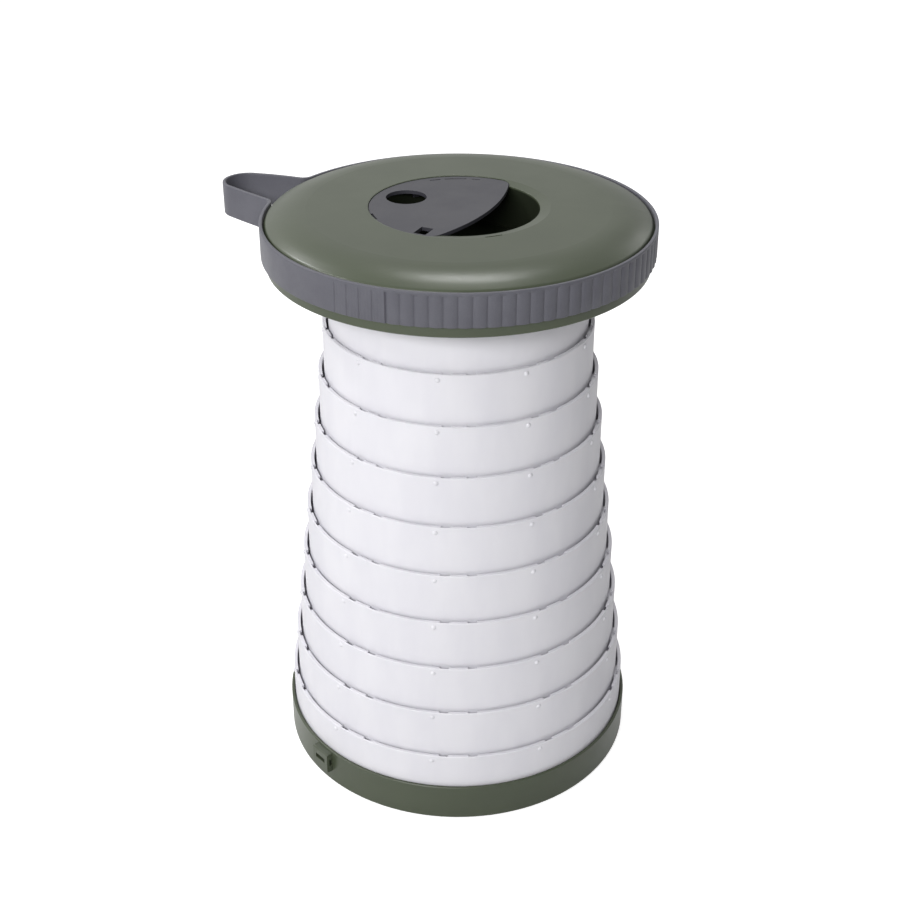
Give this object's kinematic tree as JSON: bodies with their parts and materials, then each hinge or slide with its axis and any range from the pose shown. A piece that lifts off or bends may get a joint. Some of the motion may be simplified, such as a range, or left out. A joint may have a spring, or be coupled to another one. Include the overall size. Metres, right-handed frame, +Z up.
{
  "type": "telescopic stool",
  "caption": "Round collapsible stool: a crowned seat disc with carry strap on nested telescoping rings that slide down into a base pan.",
  "frame": {"origin": "on the floor under the ring stack's axis, at the foot of the centre pad", "axes": "+Z up along the telescoping axis, -Y towards the camera of the picture, +X to its right"},
  "size_m": [0.2823, 0.25, 0.3965],
  "materials": {
    "green_plastic": "satin moulded polypropylene",
    "white_plastic": "satin moulded polypropylene",
    "grey_plastic": "fine grained moulding",
    "strap_rubber": "matt ribbed moulding",
    "foot_rubber": "matt",
    "screw_steel": "zinc plated"
  },
  "bodies": {
    "base": {"base_pan": "green_plastic", "base_feet": "foot_rubber", "strap_keeper": "green_plastic", "keeper_screws": "screw_steel", "ring_10": "white_plastic"},
    "tier_9": {"ring_09": "white_plastic"},
    "tier_8": {"ring_08": "white_plastic"},
    "tier_7": {"ring_07": "white_plastic"},
    "tier_6": {"ring_06": "white_plastic"},
    "tier_5": {"ring_05": "white_plastic"},
    "tier_4": {"ring_04": "white_plastic"},
    "tier_3": {"ring_03": "white_plastic"},
    "tier_2": {"ring_02": "white_plastic"},
    "seat": {"ring_01": "white_plastic", "seat_underplate": "green_plastic", "seat_cover": "green_plastic", "grip_plate": "grey_plastic", "carry_strap": "strap_rubber", "seat_screws": "screw_steel", "ring_screws": "screw_steel"}
  },
  "joints": [
    {"name": "tier_9_slide", "type": "slide", "parent": "base", "child": "tier_9", "axis": [0, 0, 1], "range_m": [-0.0336, 0]},
    {"name": "tier_8_slide", "type": "slide", "parent": "tier_9", "child": "tier_8", "axis": [0, 0, 1], "range_m": [-0.0336, 0]},
    {"name": "tier_7_slide", "type": "slide", "parent": "tier_8", "child": "tier_7", "axis": [0, 0, 1], "range_m": [-0.0336, 0]},
    {"name": "tier_6_slide", "type": "slide", "parent": "tier_7", "child": "tier_6", "axis": [0, 0, 1], "range_m": [-0.0336, 0]},
    {"name": "tier_5_slide", "type": "slide", "parent": "tier_6", "child": "tier_5", "axis": [0, 0, 1], "range_m": [-0.0336, 0]},
    {"name": "tier_4_slide", "type": "slide", "parent": "tier_5", "child": "tier_4", "axis": [0, 0, 1], "range_m": [-0.0336, 0]},
    {"name": "tier_3_slide", "type": "slide", "parent": "tier_4", "child": "tier_3", "axis": [0, 0, 1], "range_m": [-0.0336, 0]},
    {"name": "tier_2_slide", "type": "slide", "parent": "tier_3", "child": "tier_2", "axis": [0, 0, 1], "range_m": [-0.0336, 0]},
    {"name": "seat_slide", "type": "slide", "parent": "tier_2", "child": "seat", "axis": [0, 0, 1], "range_m": [-0.0336, 0]}
  ]
}
